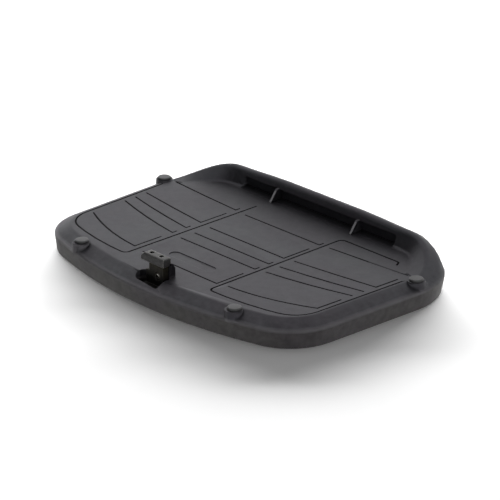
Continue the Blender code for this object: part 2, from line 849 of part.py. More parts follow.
def catch_nut(material):
    """The square nut held in the tower's slot."""
    half = nut_size / 2
    low = (screw_x - half, nut_rear_y(), deck_height + screw_height - half)
    high = (screw_x + half, nut_rear_y() + nut_thickness, deck_height + screw_height + half)
    piece = box("catch_nut", low, high)
    bore = screw_radius + gap
    profile = [(0, low[1] - overrun), (bore, low[1] - overrun), (bore, high[1] + overrun),
               (0, high[1] + overrun)]
    cut(piece, turned("nut bore", profile, (screw_x, 0, deck_height + screw_height), "Y", 24))
    piece.data.materials.clear()
    piece.data.materials.append(material)
    shade(piece)
    return piece


def threaded_insert(name, x, y, material):
    """A metal insert pressed into a boss from below, open at both ends."""
    bm = bmesh.new()
    low, high = gap, gap + insert_length
    groove = insert_radius - insert_groove_depth
    middle = (low + high) / 2
    half = insert_groove_width / 2
    ramp = half + insert_groove_depth
    section = [(insert_bore_radius, low), (insert_radius, low), (insert_radius, middle - ramp),
               (groove, middle - half), (groove, middle + half), (insert_radius, middle + ramp),
               (insert_radius, high), (insert_bore_radius, high)]
    verts = [bm.verts.new((radius, 0, along)) for radius, along in section]
    edges = [bm.edges.new((verts[i], verts[(i + 1) % len(verts)])) for i in range(len(verts))]
    bmesh.ops.spin(bm, geom=verts + edges, axis=(0, 0, 1), cent=(0, 0, 0),
                   angle=2 * math.pi, steps=round_steps, use_merge=True)
    bmesh.ops.remove_doubles(bm, verts=bm.verts[:], dist=1e-6)
    piece = finish(name, bm, material)
    piece.location = (x, y, 0)
    shade(piece)
    return piece


def material(name, colour, roughness, metallic=0.0):
    finish_of = bpy.data.materials.new(name)
    finish_of.use_nodes = True
    shader = finish_of.node_tree.nodes["Principled BSDF"]
    shader.inputs["Base Color"].default_value = (*colour, 1.0)
    shader.inputs["Roughness"].default_value = roughness
    shader.inputs["Metallic"].default_value = metallic
    return finish_of


def build():
    for old in list(bpy.data.objects):
        bpy.data.objects.remove(old)
    plastic = material("black moulded plastic", (0.030, 0.030, 0.032), 0.55)
    rubber = material("black rubber", (0.035, 0.035, 0.036), 0.75)
    catch_finish = material("dark grey cast catch", (0.085, 0.082, 0.074), 0.5)
    steel = material("zinc plated steel", (0.55, 0.54, 0.50), 0.35, 1.0)
    brass = material("brass", (0.60, 0.44, 0.18), 0.4, 1.0)
    assembly = bpy.data.objects.new("mounting plate", None)
    bpy.context.scene.collection.objects.link(assembly)
    pieces = [base_plate(plastic), catch_block(catch_finish), catch_screw(steel), catch_nut(steel)]
    for place, x, y in buffer_places():
        pieces.append(rubber_buffer("buffer_" + place, x, y, rubber))
    for i, (x, y) in enumerate(bolt_places(), 1):
        pieces.append(threaded_insert("rack_insert_%d" % i, x, y, brass))
    for piece in pieces:
        piece.parent = assembly


build()
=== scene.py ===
"""Looks of a motorbike's top case mounting plate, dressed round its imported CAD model.

Metres, +Z up. The plate stands on its skirt at Z = 0 with the raised rim at +Y and the catch at -Y.
"""
import math

import bmesh
import bpy
from mathutils import Matrix, Vector
from mathutils.kdtree import KDTree


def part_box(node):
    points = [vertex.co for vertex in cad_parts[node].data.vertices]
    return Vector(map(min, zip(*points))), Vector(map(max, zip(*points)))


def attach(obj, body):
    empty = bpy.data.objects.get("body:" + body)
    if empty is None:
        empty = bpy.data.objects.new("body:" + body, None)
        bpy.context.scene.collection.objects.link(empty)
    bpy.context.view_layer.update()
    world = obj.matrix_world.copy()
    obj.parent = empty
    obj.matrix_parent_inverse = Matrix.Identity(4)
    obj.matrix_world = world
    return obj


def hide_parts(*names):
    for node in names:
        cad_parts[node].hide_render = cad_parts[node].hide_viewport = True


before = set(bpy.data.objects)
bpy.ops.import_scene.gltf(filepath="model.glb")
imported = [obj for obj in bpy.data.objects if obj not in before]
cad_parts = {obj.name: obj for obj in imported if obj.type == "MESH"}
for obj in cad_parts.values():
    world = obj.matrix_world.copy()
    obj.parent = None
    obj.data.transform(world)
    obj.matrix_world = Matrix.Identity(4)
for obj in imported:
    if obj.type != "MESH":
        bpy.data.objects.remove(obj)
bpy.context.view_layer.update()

# The camera: it stands far off with a long lens, round to the right of the rear and a little
# above the plate, and looks at a point of the deck just right of its middle.
deck_height = 0.0277
camera_round = math.radians(46.75)
camera_above = math.radians(23.12)
camera_distance = 2.79328
look_at = Vector((0.018860, -0.001436, deck_height))
towards_camera = Vector((math.sin(camera_round) * math.cos(camera_above),
                         -math.cos(camera_round) * math.cos(camera_above), math.sin(camera_above)))
scene = bpy.context.scene
camera_data = bpy.data.cameras.new("camera")
camera_data.sensor_width = 36.0
camera_data.lens = 192.607
camera_data.clip_start = 0.1
camera = bpy.data.objects.new("camera", camera_data)
camera.location = look_at + towards_camera * camera_distance
camera.rotation_euler = towards_camera.to_track_quat("Z", "Y").to_euler()
scene.collection.objects.link(camera)
scene.camera = camera
scene.view_settings.view_transform = "Standard"


# The studio: a wide low light behind the plate throws its soft shadow towards the camera, a weak
# one hangs overhead, and white surrounds the set for everything that the camera or a gloss sees.
key_distance = 2.6
key_height = 0.50
key_width = 4.4
key_tall = 0.70
key_power = 690.0
top_distance = 0.5
top_height = 1.8
top_width = 1.6
top_tall = 1.2
top_power = 0.5
room_strength = 0.25
behind = Vector((-towards_camera.x, -towards_camera.y, 0.0)).normalized()


def feed(tree, socket, value):
    """Give an input another node's output, a colour or a plain value."""
    if isinstance(value, bpy.types.NodeSocket):
        tree.links.new(value, socket)
    elif socket.type == "RGBA":
        socket.default_value = (*value, 1.0)
    else:
        socket.default_value = value


def add_node(tree, kind, **values):
    """Add a node, with its properties and its inputs given by name."""
    node = tree.nodes.new(kind)
    for name, value in values.items():
        if hasattr(node, name):
            setattr(node, name, value)
        else:
            feed(tree, node.inputs[name.replace("_", " ").title()], value)
    return node


def calculated(tree, operation, first, second=0.0):
    """A sum, product or the like of two values, each a number or another node's output."""
    node = add_node(tree, "ShaderNodeMath", operation=operation)
    feed(tree, node.inputs[0], first)
    feed(tree, node.inputs[1], second)
    return node.outputs[0]


def mix_shaders(tree, factor, first, second):
    """The first shader where the factor is 0, and the second where it is 1."""
    mix = add_node(tree, "ShaderNodeMixShader", fac=factor)
    tree.links.new(first.outputs[0], mix.inputs[1])
    tree.links.new(second.outputs[0], mix.inputs[2])
    return mix.outputs[0]


def soft_light(name, distance, height, width, tall, power, seen_in_gloss):
    """A rectangular lamp behind the plate that faces it, never seen by the camera itself."""
    data = bpy.data.lights.new(name, "AREA")
    data.shape = "RECTANGLE"
    data.size = width
    data.size_y = tall
    data.energy = power
    place = behind * distance + Vector((0, 0, height))
    lamp = bpy.data.objects.new(name, data)
    lamp.location = place
    lamp.rotation_euler = place.to_track_quat("Z", "Y").to_euler()
    lamp.visible_glossy = seen_in_gloss
    lamp.visible_camera = False
    scene.collection.objects.link(lamp)


soft_light("key light", key_distance, key_height, key_width, key_tall, key_power, False)
soft_light("top light", top_distance, top_height, top_width, top_tall, top_power, True)

world = bpy.data.worlds.new("white room")
scene.world = world
world.use_nodes = True
room = world.node_tree
room.nodes.clear()
room_light = add_node(room, "ShaderNodeBackground", strength=room_strength)
room_white = add_node(room, "ShaderNodeBackground", strength=1.0)
for glow in (room_light, room_white):
    feed(room, glow.inputs["Color"], (1.0, 1.0, 1.0))
room_path = add_node(room, "ShaderNodeLightPath")
seen = room_path.outputs["Is Camera Ray"]
for ray in ("Is Glossy Ray", "Is Transmission Ray"):
    seen = calculated(room, "MAXIMUM", seen, room_path.outputs[ray])
room_out = add_node(room, "ShaderNodeOutputWorld")
room.links.new(mix_shaders(room, seen, room_light, room_white), room_out.inputs["Surface"])


# The floor is plain white board. It keeps the plate's shadow for the eye, and shows as white in
# the plate's own gloss, which fades towards a black card. The card stands to the rear left and
# darkens what the rim's inner wall reflects.
floor_size = 8.0
floor_white = (0.98, 0.98, 0.98)
gloss_near = 0.85
gloss_far = 0.50
gloss_fade = 0.35
card_round = math.radians(-43.0)
card_distance = 2.4
card_width = 4.0
card_height = 1.8
card_black = (0.01, 0.01, 0.01)


def new_piece(name, bm):
    """An object of its own at the origin, with the bmesh as its mesh."""
    mesh = bpy.data.meshes.new(name)
    bm.to_mesh(mesh)
    bm.free()
    piece = bpy.data.objects.new(name, mesh)
    scene.collection.objects.link(piece)
    return piece


def new_finish(name, colour, roughness, metallic=0.0):
    """A material and its Principled shader, to which each section adds its own pattern."""
    finish = bpy.data.materials.new(name)
    finish.use_nodes = True
    shader = finish.node_tree.nodes["Principled BSDF"]
    shader.inputs["Base Color"].default_value = (*colour, 1.0)
    shader.inputs["Roughness"].default_value = roughness
    shader.inputs["Metallic"].default_value = metallic
    return finish, shader


def mapped(tree, value, low, high, to_low=0.0, to_high=1.0):
    """A value's range turned into another range, held at its ends."""
    node = add_node(tree, "ShaderNodeMapRange", value=value, from_min=low, from_max=high,
                    to_min=to_low, to_max=to_high)
    return node.outputs[0]


def place_on_piece(tree):
    """Where a point lies on its piece."""
    return add_node(tree, "ShaderNodeTexCoord").outputs["Object"]


def axes_of(tree, vector):
    """A vector's X, Y and Z, each by itself."""
    return add_node(tree, "ShaderNodeSeparateXYZ", vector=vector).outputs


floor_bm = bmesh.new()
bmesh.ops.create_grid(floor_bm, x_segments=1, y_segments=1, size=floor_size)
floor = new_piece("floor", floor_bm)
floor_finish, floor_shader = new_finish("white board", floor_white, 1.0)
floor_shader.inputs["Specular IOR Level"].default_value = 0.0
board = floor_finish.node_tree
board_turn = add_node(board, "ShaderNodeMapping", vector_type="TEXTURE", vector=place_on_piece(board),
                      rotation=(0.0, 0.0, card_round))
away_from_card = axes_of(board, board_turn.outputs[0])["Y"]
board_gloss = mapped(board, away_from_card, -gloss_fade, 0.0, gloss_far, gloss_near)
board_glow = add_node(board, "ShaderNodeEmission", strength=board_gloss)
board_path = add_node(board, "ShaderNodeLightPath")
board_mix = mix_shaders(board, board_path.outputs["Is Glossy Ray"], floor_shader, board_glow)
board.links.new(board_mix, board.nodes["Material Output"].inputs["Surface"])
floor.data.materials.append(floor_finish)

card_bm = bmesh.new()
bmesh.ops.create_grid(card_bm, x_segments=1, y_segments=1, size=0.5)
bmesh.ops.scale(card_bm, vec=(card_width, card_height, 1.0), verts=card_bm.verts[:])
bmesh.ops.rotate(card_bm, matrix=Matrix.Rotation(math.pi / 2, 3, "X"), verts=card_bm.verts[:])
bmesh.ops.translate(card_bm, vec=(0, -card_distance, card_height / 2), verts=card_bm.verts[:])
bmesh.ops.rotate(card_bm, matrix=Matrix.Rotation(card_round, 3, "Z"), verts=card_bm.verts[:])
card = new_piece("black_card", card_bm)
card.visible_camera = False
card.visible_shadow = False
card.data.materials.append(new_finish("black card", card_black, 1.0)[0])


# The plate: one injection moulding in black plastic, spark-textured all over, with engraved panel
# lines. It is the CAD solid with its loose triangles joined, its lines cut deeper and their
# mouths a little wider, and the sides of two of its cups marked for a painted highlight.
doubles_apart = 2e-6
touching = 2e-5
line_depth = 0.0009
line_deepening = 0.0007
line_widening = 0.00048
line_room = 3
border_steps = 12
bar_recess = 0.0006
cup_inside = 0.0079
cup_outside = 0.0125
upright_slope = 0.5


def merged_copy(node, flat_degrees=0.6):
    """A copy of a node's mesh, with its loose triangles joined into clean flat faces."""
    bm = bmesh.new()
    bm.from_mesh(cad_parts[node].data)
    bmesh.ops.remove_doubles(bm, verts=bm.verts[:], dist=doubles_apart)
    bmesh.ops.dissolve_limit(bm, angle_limit=math.radians(flat_degrees), verts=bm.verts[:],
                             edges=bm.edges[:], use_dissolve_boundaries=False)
    return bm


def shade_by_angle(piece, degrees=30):
    """Round shading on soft bends, crisp on sharper ones, and flat faces kept flat."""
    piece.data.shade_smooth()
    piece.data.set_sharp_from_angle(angle=math.radians(degrees))
    weighted = piece.modifiers.new("even shading", "WEIGHTED_NORMAL")
    weighted.keep_sharp = True


def dress(piece, finish, slot, *nodes):
    """Give a piece its finish, hang it under the root body and hide the CAD nodes that it stands for."""
    piece.data.materials.clear()
    piece.data.materials.append(finish)
    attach(piece, "root")
    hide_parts(*nodes)


def widen_lines(mouth, border):
    """Widen the panel lines' mouths, by less where the deck's border comes near."""
    along = [edge.verts[0].co.lerp(edge.verts[1].co, step / border_steps)
             for edge in border for step in range(border_steps + 1)]
    rim_of_deck = KDTree(len(along))
    for number, point in enumerate(along):
        rim_of_deck.insert(point, number)
    rim_of_deck.balance()
    for vert, inward in mouth.items():
        free = rim_of_deck.find(vert.co)[2] if along else line_widening * line_room
        vert.co.xy -= inward.normalized() * min(line_widening, free / line_room)


def engrave(bm):
    """Deepen and widen the panel lines, and mark the faces of lines and recess, which get painted shade.
    """
    mark = bm.faces.layers.float.new("engraved")
    floor_z = deck_height - line_depth
    for vert in bm.verts:
        if abs(vert.co.z - floor_z) < touching:
            vert.co.z -= line_deepening
    mouth, border = {}, []
    for face in bm.faces:
        lowest = min(vert.co.z for vert in face.verts)
        highest = max(vert.co.z for vert in face.verts)
        in_line = abs(lowest - floor_z + line_deepening) < touching
        in_recess = abs(lowest - deck_height + bar_recess) < touching
        at_deck = [vert for vert in face.verts if abs(vert.co.z - deck_height) < touching]
        if highest < deck_height + touching and in_line:
            face[mark] = 1.0
            for vert in at_deck:
                mouth[vert] = mouth.get(vert, Vector((0, 0))) + face.normal.xy.normalized()
        elif at_deck and highest < deck_height + touching and in_recess:
            face[mark] = 1.0
        elif lowest < deck_height - touching and highest < deck_height + touching:
            border += [edge for edge in face.edges if all(vert in at_deck for vert in edge.verts)]
    widen_lines(mouth, border)


def mark_cups(bm):
    """Mark the upright sides of the two left cups, which get a painted highlight."""
    mark = bm.faces.layers.float.new("cup")
    for place in ("front_left", "rear_left"):
        low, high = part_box("buffer_" + place)
        middle = (low.xy + high.xy) / 2
        for face in bm.faces:
            reach = [(vert.co.xy - middle).length for vert in face.verts]
            upright = abs(face.normal.z) < upright_slope
            if upright and cup_inside < min(reach) and max(reach) < cup_outside:
                face[mark] = 1.0


plate_bm = merged_copy("base_plate")
engrave(plate_bm)
mark_cups(plate_bm)
plate = new_piece("plate_moulding", plate_bm)
shade_by_angle(plate)


# Every piece's surface: a fine grain in relief over rounded edges, a wider mottle, a mask of the
# worn edges and a mask of how open the surface lies, from ambient occlusion, with which the
# finishes paint shade. Each finish places it with its own values.
# Here and below, a pair of numbers is where a mask starts to change and where it stops.
hollow_reach = 0.030
facing_up = (0.2, 0.9)
upright_share = 0.25
closing = (0.05, 0.40)
closed_share = 0.3
turning_away = (0.99, 0.86)
relief_strength = 0.6
grain_detail = 3.0
mottle_detail = 4.0
speckle_reach = 0.2
mottle_reach = 0.15


def pattern_group(name, inputs, outputs):
    """A shader node group with named inputs and outputs, and the two nodes at its ends."""
    group = bpy.data.node_groups.new(name, "ShaderNodeTree")
    for socket in inputs:
        group.interface.new_socket(socket, in_out="INPUT", socket_type="NodeSocketFloat")
    for socket, kind in outputs.items():
        group.interface.new_socket(socket, in_out="OUTPUT", socket_type=kind)
    return group, group.nodes.new("NodeGroupInput"), group.nodes.new("NodeGroupOutput")


def product(tree, first, *others):
    """Several values multiplied together."""
    for other in others:
        first = calculated(tree, "MULTIPLY", first, other)
    return first


def inverse(tree, mask):
    """A mask turned round, so that it is 1 where it was 0."""
    return calculated(tree, "SUBTRACT", 1.0, mask)


def noise(tree, place, scale, detail, fineness=0.6):
    """A noise about one half, with a scale, a number of layers and how strong the fine ones are."""
    return add_node(tree, "ShaderNodeTexNoise", vector=place, scale=scale, detail=detail,
                    roughness=fineness).outputs[0]


def drawn_out(tree, value, reach):
    """A noise stretched to run from 0 to 1, by its reach to either side of one half."""
    return mapped(tree, value, 0.5 - reach, 0.5 + reach)


def openness(tree):
    """How open the surface lies: low in slots and hollows, and less so on upright faces; it sets painted
    shade.
    """
    hollow = add_node(tree, "ShaderNodeAmbientOcclusion", samples=8, distance=hollow_reach).outputs["AO"]
    facing = axes_of(tree, add_node(tree, "ShaderNodeNewGeometry").outputs["Normal"])
    upward = mapped(tree, facing["Z"], *facing_up, upright_share, 1.0)
    partly_open = inverse(tree, product(tree, upward, inverse(tree, hollow)))
    return calculated(tree, "MINIMUM", partly_open, mapped(tree, hollow, *closing, closed_share, 1.0))


surface, surface_in, surface_out = pattern_group(
    "surface", ("Edge Radius", "Grain Scale", "Grain Depth", "Mottle Scale"),
    {"Normal": "NodeSocketVector", "Mottle": "NodeSocketFloat", "Speckle": "NodeSocketFloat",
     "Worn": "NodeSocketFloat", "Open": "NodeSocketFloat"})
surface_place = place_on_piece(surface)
surface_facing = add_node(surface, "ShaderNodeNewGeometry").outputs["Normal"]
edge_radius_in = surface_in.outputs["Edge Radius"]
rounded = add_node(surface, "ShaderNodeBevel", samples=6, radius=edge_radius_in).outputs[0]
turned_away = add_node(surface, "ShaderNodeVectorMath", operation="DOT_PRODUCT")
surface.links.new(rounded, turned_away.inputs[0])
surface.links.new(surface_facing, turned_away.inputs[1])
grain = noise(surface, surface_place, surface_in.outputs["Grain Scale"], grain_detail)
mottle = noise(surface, surface_place, surface_in.outputs["Mottle Scale"], mottle_detail)
relief = add_node(surface, "ShaderNodeBump", strength=relief_strength, normal=rounded,
                  distance=surface_in.outputs["Grain Depth"])
surface.links.new(grain, relief.inputs["Height"])
speckle = drawn_out(surface, grain, speckle_reach)
worn = product(surface, speckle, mapped(surface, turned_away.outputs["Value"], *turning_away))
for socket, value in (("Normal", relief.outputs[0]), ("Speckle", speckle), ("Worn", worn),
                      ("Mottle", drawn_out(surface, mottle, mottle_reach)), ("Open", openness(surface))):
    surface.links.new(value, surface_out.inputs[socket])


def place_surface(tree, shader, radius, grain_scale, grain_depth, mottle_scale):
    """Put the surface group in a material with its own values, and give its outputs."""
    node = tree.nodes.new("ShaderNodeGroup")
    node.node_tree = surface
    for socket, value in (("Edge Radius", radius), ("Grain Scale", grain_scale),
                          ("Grain Depth", grain_depth), ("Mottle Scale", mottle_scale)):
        feed(tree, node.inputs[socket], value)
    tree.links.new(node.outputs["Normal"], shader.inputs["Normal"])
    return node.outputs


# The plate's finish: the mould's black, paler on the skirt, with painted highlights on the crease,
# the gussets and the left cups, and painted shade, near black, in the lines and hollows. Its gloss
# is mottled, and cut down as painted shade in the slot, before it, on the catch's tower and at the
# skirt's right end.
plate_black = (0.0136, 0.0133, 0.0157)
skirt_black = (0.0198, 0.0180, 0.0184)
# The next colours: painted shade in the lines and hollows, a worn grey for the edges, then painted
# highlights on the crease, the left cups and the gussets.
line_shade_black = (0.0030, 0.0030, 0.0034)
hollow_shade_black = (0.0130, 0.0130, 0.0136)
worn_grey = (0.0600, 0.0600, 0.0620)
crease_highlight_grey = (0.1300, 0.1270, 0.1330)
cup_highlight_grey = (0.0420, 0.0415, 0.0420)
gusset_highlight_grey = (0.160, 0.160, 0.165)
plate_mottle = 0.12
skirt_mottle = 0.2
mottle_scale = 120.0
plate_grain_scale = 1500.0
plate_grain_depth = 0.00007
edge_radius = 0.0004
crease_height = 0.0192
crease_radius = 0.0017
crease_sharp_share = 0.5
crease_round_x = (-0.02, 0.08)
crease_zone = (0.0036, 0.0040)
# The crease's painted highlight: its band either side of the crease, and how it fades to the left and to
# the front.
crease_light_band = (0.0003, 0.00238)
crease_light_share = 0.9
crease_light_x = (-0.10, 0.12)
crease_light_left = 0.75
crease_light_y = (0.05, 0.11)
crease_light_front = 0.1
skirt_top = (crease_height - 0.0015, crease_height + 0.0005)
deck_edge = (deck_height - 0.0040, deck_height - 0.0010)
slot_half_length = 0.1165
slot_end = (slot_half_length - 0.001, slot_half_length)
slot_approach = (0.08, 0.09)
slot_front = 0.1090
slot_floor = deck_height + 0.0008
slot_floor_fade = (deck_height + 0.0004, slot_floor)
slot_roof_fade = (deck_height + 0.0116, deck_height + 0.0126)
slot_shade = 0.34
slot_shade_reach = 0.042
slot_shade_height = (deck_height, slot_floor)
sill_round_off = (0.00056, 0.00080)
sill_rounding = 0.2
sill_shade_off = (0.00060, 0.00076)
sill_shade_share = 0.78
inward_facing = (0.02, 0.10)
gusset_x = 0.0613
gusset_side = (0.0011, 0.0014)
tower_height = (deck_height + 0.0005, deck_height + 0.0030)
tower_y = (-0.05, 0.0)
tower_shade_share = 0.7
right_end_x = (0.12, 0.18)
right_end_shade = 0.86
plate_roughness = 0.46
roughness_spread = 0.015
sheen_level = 0.50
deck_sheen_spread = 0.025
skirt_sheen_spread = 0.080
hollow_range = (0.25, 0.92)
hollow_shade_sheen = 0.12
line_shade_sheen = 0.15
cup_highlight_sheen = 1.6
cool_sheen = (0.900, 0.905, 1.000)
violet_sheen = (0.945, 0.880, 1.000)
warm_sheen = (1.000, 0.975, 0.930)
rosy_sheen = (1.000, 0.935, 1.000)
wide_scale = 14.0
wide_detail = 2.0
wide_fineness = 0.5
wide_reach = 0.1


def face_mask(tree, name):
    """The faces that a mesh has marked under a name."""
    return add_node(tree, "ShaderNodeAttribute", attribute_name=name).outputs["Fac"]


def distance_from(tree, value, middle):
    """How far a value lies from a middle, to either side."""
    return calculated(tree, "ABSOLUTE", calculated(tree, "SUBTRACT", value, middle))


def fading(tree, value, low, high, share=1.0):
    """A mask that is at its full share up to a low value and gone from a high one."""
    return mapped(tree, value, low, high, share, 0.0)


def mix_values(tree, factor, first, second):
    """A mix of two values, each a number or another node's output."""
    mix = add_node(tree, "ShaderNodeMix", data_type="FLOAT")
    for socket, value in zip((mix.inputs[0], mix.inputs[2], mix.inputs[3]), (factor, first, second)):
        feed(tree, socket, value)
    return mix.outputs[0]


def mix_colours(tree, factor, first, second):
    """A mix of two colours, each given by hand or by another node's output."""
    mix = add_node(tree, "ShaderNodeMix", data_type="RGBA")
    for socket, value in zip((mix.inputs[0], mix.inputs[6], mix.inputs[7]), (factor, first, second)):
        feed(tree, socket, value)
    return mix.outputs[2]


def mottled(tree, factor, colour, share):
    """A colour that varies to either side of itself by a share."""
    return mix_colours(tree, factor, tuple(part * (1 - share) for part in colour),
                       tuple(part * (1 + share) for part in colour))


def varied(tree, factor, value, spread):
    """A value that varies to either side of itself by a spread."""
    return mapped(tree, factor, 0.0, 1.0, value - spread, value + spread)


plate_finish, plate_shader = new_finish("black moulded plastic", plate_black, plate_roughness)
tree = plate_finish.node_tree
place = place_on_piece(tree)
across, along, height = axes_of(tree, place)
facing_front = axes_of(tree, add_node(tree, "ShaderNodeNewGeometry").outputs["True Normal"])["Y"]
engraved = face_mask(tree, "engraved")
# The two left cups' upright sides get a painted highlight: a paler grey and more sheen.
lit_cup_side = face_mask(tree, "cup")
off_middle = distance_from(tree, across, 0.0)
off_crease = distance_from(tree, height, crease_height)
off_sill = distance_from(tree, height, slot_floor)
below_crease = fading(tree, height, *skirt_top)
below_deck = fading(tree, height, *deck_edge)
at_slot = product(tree, mapped(tree, along, *slot_approach), fading(tree, off_middle, *slot_end),
                  fading(tree, facing_front, *inward_facing))
in_slot = product(tree, at_slot, mapped(tree, height, *slot_floor_fade),
                  fading(tree, height, *slot_roof_fade))
# Painted highlight on the gussets' sides in the slot: a pale grey for the light they catch.
painted_gusset_light = product(tree, in_slot, fading(tree, distance_from(tree, off_middle, gusset_x), *gusset_side))
# Painted highlight along the crease, stronger to the right and towards the rear: a paler grey where the
# crease catches the light.
painted_crease_light = product(tree, fading(tree, off_crease, *crease_light_band, crease_light_share),
                    mapped(tree, across, *crease_light_x, crease_light_left, 1.0),
                    mapped(tree, along, *crease_light_y, 1.0, crease_light_front))
wide = drawn_out(tree, noise(tree, place, wide_scale, wide_detail, wide_fineness), wide_reach)
patches = drawn_out(tree, noise(tree, place, mottle_scale, mottle_detail), mottle_reach)

crease_rounding = mapped(tree, across, *crease_round_x, edge_radius * crease_sharp_share, crease_radius)
rounding = mix_values(tree, mapped(tree, off_crease, *crease_zone), crease_rounding, edge_radius)
rounding = product(tree, rounding, mapped(tree, off_sill, *sill_round_off, sill_rounding, 1.0))
skin = place_surface(tree, plate_shader, rounding, plate_grain_scale, plate_grain_depth, mottle_scale)

tone = mix_colours(tree, below_crease, mottled(tree, skin["Mottle"], plate_black, plate_mottle),
                   mottled(tree, skin["Mottle"], skirt_black, skirt_mottle))
tone = mix_colours(tree, painted_crease_light, tone, crease_highlight_grey)
tone = mix_colours(tree, lit_cup_side, tone, cup_highlight_grey)
tone = mix_colours(tree, skin["Worn"], tone, worn_grey)
# Painted shade: near black where the surface lies closed in, in hollows and slots.
tone = mix_colours(tree, skin["Open"], hollow_shade_black, tone)
# Painted shade: near black, with little sheen, in the engraved lines and the recess.
tone = mix_colours(tree, engraved, tone, line_shade_black)
tone = mix_colours(tree, painted_gusset_light, tone, gusset_highlight_grey)
tree.links.new(tone, plate_shader.inputs["Base Color"])

tint = mix_colours(tree, below_crease, mix_colours(tree, wide, cool_sheen, violet_sheen),
                   mix_colours(tree, wide, warm_sheen, rosy_sheen))
tree.links.new(tint, plate_shader.inputs["Specular Tint"])
roughness = varied(tree, wide, plate_roughness, roughness_spread)
tree.links.new(roughness, plate_shader.inputs["Roughness"])

deck_sheen = varied(tree, patches, sheen_level, deck_sheen_spread)
# The skirt's sheen is mottled, and cut down towards its right end as painted shade.
skirt_sheen = product(tree, varied(tree, patches, sheen_level, skirt_sheen_spread),
                      mapped(tree, across, *right_end_x, 1.0, right_end_shade))
# Painted shade: less sheen along the slot's sill.
sill_shade = product(tree, at_slot, fading(tree, off_sill, *sill_shade_off, sill_shade_share))
# Painted shade: less sheen on the deck just before the slot.
shade_before_slot = product(
    tree, fading(tree, off_middle, slot_half_length - slot_shade_reach, slot_half_length, slot_shade),
    mapped(tree, along, slot_front - slot_shade_reach, slot_front),
    fading(tree, height, *slot_shade_height))
# Painted shade: less sheen on the catch's tower.
tower_shade = product(tree, mapped(tree, height, *tower_height, 0.0, tower_shade_share),
                   fading(tree, along, *tower_y))
# The sheen is cut down as painted shade in hollows, lines, the slot, before it and on the tower, and
# raised as a painted highlight on the left cups.
sheen = product(tree, mix_values(tree, below_deck, deck_sheen, skirt_sheen),
                mapped(tree, openness(tree), *hollow_range, hollow_shade_sheen, 1.0),
                inverse(tree, sill_shade), inverse(tree, shade_before_slot), inverse(tree, tower_shade),
                mapped(tree, engraved, 0.0, 1.0, 1.0, line_shade_sheen),
                mapped(tree, lit_cup_side, 0.0, 1.0, 1.0, cup_highlight_sheen))
tree.links.new(sheen, plate_shader.inputs["Specular IOR Level"])
dress(plate, plate_finish, "plate_plastic", "base_plate")


# The four buffers: black rubber, pushed into their cups, where a barb under the cup's floor
# holds them. Each is turned in one piece: a slightly domed, round-edged head, a neck and the barb.
buffer_radius = 0.0075
buffer_rounding = 0.0013
buffer_dome = 0.00025
dome_shares = ((1.0, 1.0), (0.8, 0.6), (0.5, 0.0), (0.0, 0.0))
buffer_floor = deck_height - 0.0034
buffer_foot_edge = 0.0004
head_segments = 5
foot_segments = 2
buffer_neck = 0.0030
buffer_under = deck_height - 0.0087
buffer_barb = 0.0040
barb_flat = 0.0003
rubber_black = (0.0330, 0.0330, 0.0345)
rubber_worn = (0.0900, 0.0900, 0.0920)
rubber_mottle = 0.2
rubber_roughness = 0.45
rubber_roughness_spread = 0.05
rubber_level = 0.55
rubber_edge = 0.0003
rubber_grain_scale = 900.0
rubber_grain_depth = 0.00008
rubber_mottle_scale = 420.0
turning_steps = 56


def turned(profile, steps):
    """A bmesh turned about the Z axis from (radius, height) points."""
    bm = bmesh.new()
    chain = [bm.verts.new((radius, 0.0, height)) for radius, height in profile]
    edges = [bm.edges.new(pair) for pair in zip(chain, chain[1:])]
    bmesh.ops.spin(bm, geom=chain + edges, axis=(0, 0, 1), cent=(0, 0, 0), angle=2 * math.pi,
                   steps=steps, use_merge=True)
    bmesh.ops.remove_doubles(bm, verts=bm.verts[:], dist=doubles_apart)
    bmesh.ops.recalc_face_normals(bm, faces=bm.faces[:])
    return bm


def round_ring(bm, radius, height, width, segments):
    """Round off the ring of edges at a radius and height."""
    edges = [edge for edge in bm.edges
             if all(abs(vert.co.z - height) < touching and abs(vert.co.xy.length - radius) < touching
                    for vert in edge.verts)]
    bmesh.ops.bevel(bm, geom=edges, offset=width, offset_type="OFFSET", segments=segments, profile=0.5,
                    affect="EDGES", material=-1)


def centred(bm, node):
    """Move a turned shape to the middle of its CAD node, as seen from above."""
    low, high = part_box(node)
    bmesh.ops.translate(bm, vec=((low.x + high.x) / 2, (low.y + high.y) / 2, 0), verts=bm.verts[:])


rubber_finish, rubber_shader = new_finish("black rubber", rubber_black, rubber_roughness)
tree = rubber_finish.node_tree
skin = place_surface(tree, rubber_shader, rubber_edge, rubber_grain_scale, rubber_grain_depth,
                     rubber_mottle_scale)
tone = mottled(tree, skin["Mottle"], rubber_black, rubber_mottle)
tone = mix_colours(tree, skin["Worn"], tone, rubber_worn)
# Painted shade: near black where the rubber lies closed in.
tone = mix_colours(tree, skin["Open"], line_shade_black, tone)
tree.links.new(tone, rubber_shader.inputs["Base Color"])
roughness = varied(tree, skin["Mottle"], rubber_roughness, rubber_roughness_spread)
tree.links.new(roughness, rubber_shader.inputs["Roughness"])
rubber_shader.inputs["Specular IOR Level"].default_value = rubber_level

